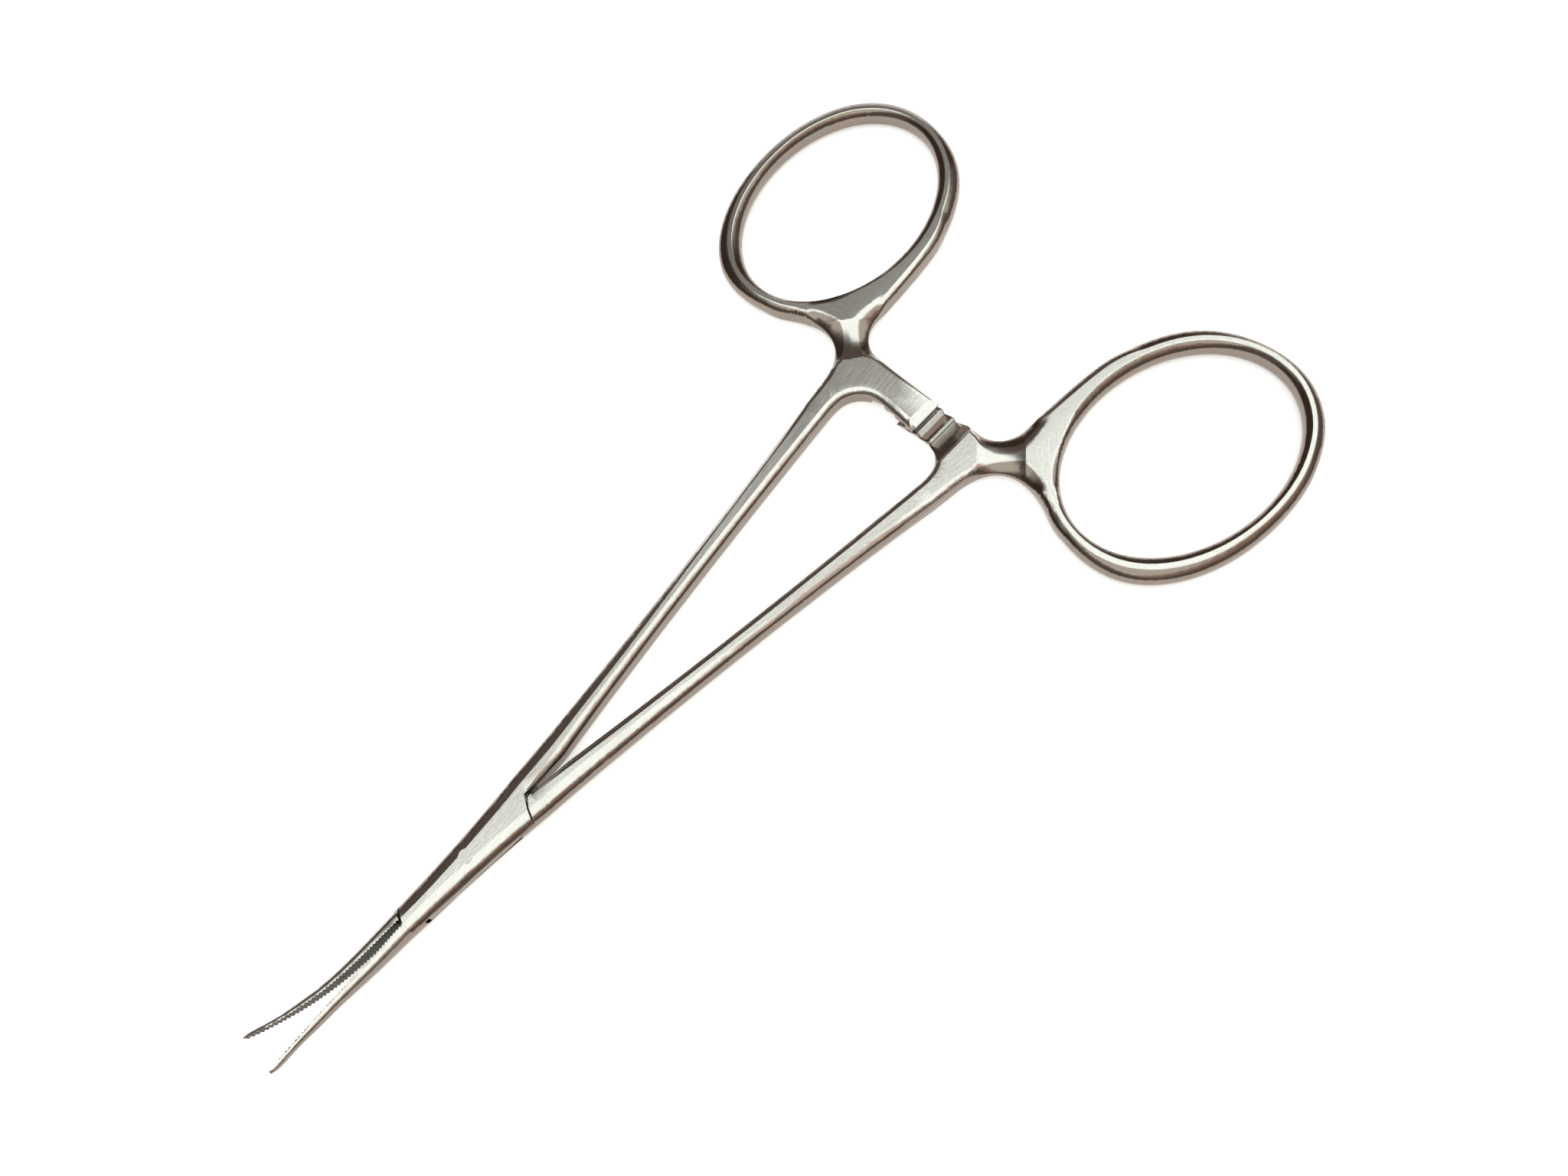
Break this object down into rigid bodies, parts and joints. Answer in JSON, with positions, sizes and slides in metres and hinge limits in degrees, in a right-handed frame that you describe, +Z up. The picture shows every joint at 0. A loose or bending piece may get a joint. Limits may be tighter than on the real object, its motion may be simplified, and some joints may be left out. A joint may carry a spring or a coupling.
{
  "type": "locking forceps",
  "caption": "Small locking forceps with finger rings, a box lock, a toothed ratchet and slender serrated jaws curved upwards at the tips.",
  "frame": {"origin": "on the pivot axis, in the flat underside that the forceps lies on", "axes": "+X from the pivot to the finger rings, so the jaws point along -X; +Y towards the ring of the box half; +Z up, the way the jaw tips curve"},
  "size_m": [0.124, 0.0752, 0.0047],
  "materials": {
    "box_half_steel": "satin",
    "through_half_steel": "satin",
    "pin_steel": "ground flush"
  },
  "bodies": {
    "box_body": {"box_half": "box_half_steel", "pivot_pin": "pin_steel"},
    "through_body": {"through_half": "through_half_steel"}
  },
  "joints": [
    {"name": "box_lock_hinge", "type": "hinge", "parent": "box_body", "child": "through_body", "pos_m": [0, 0, 0.0013], "axis": [0, 0, -1], "range_deg": [-2.8, 30]}
  ]
}
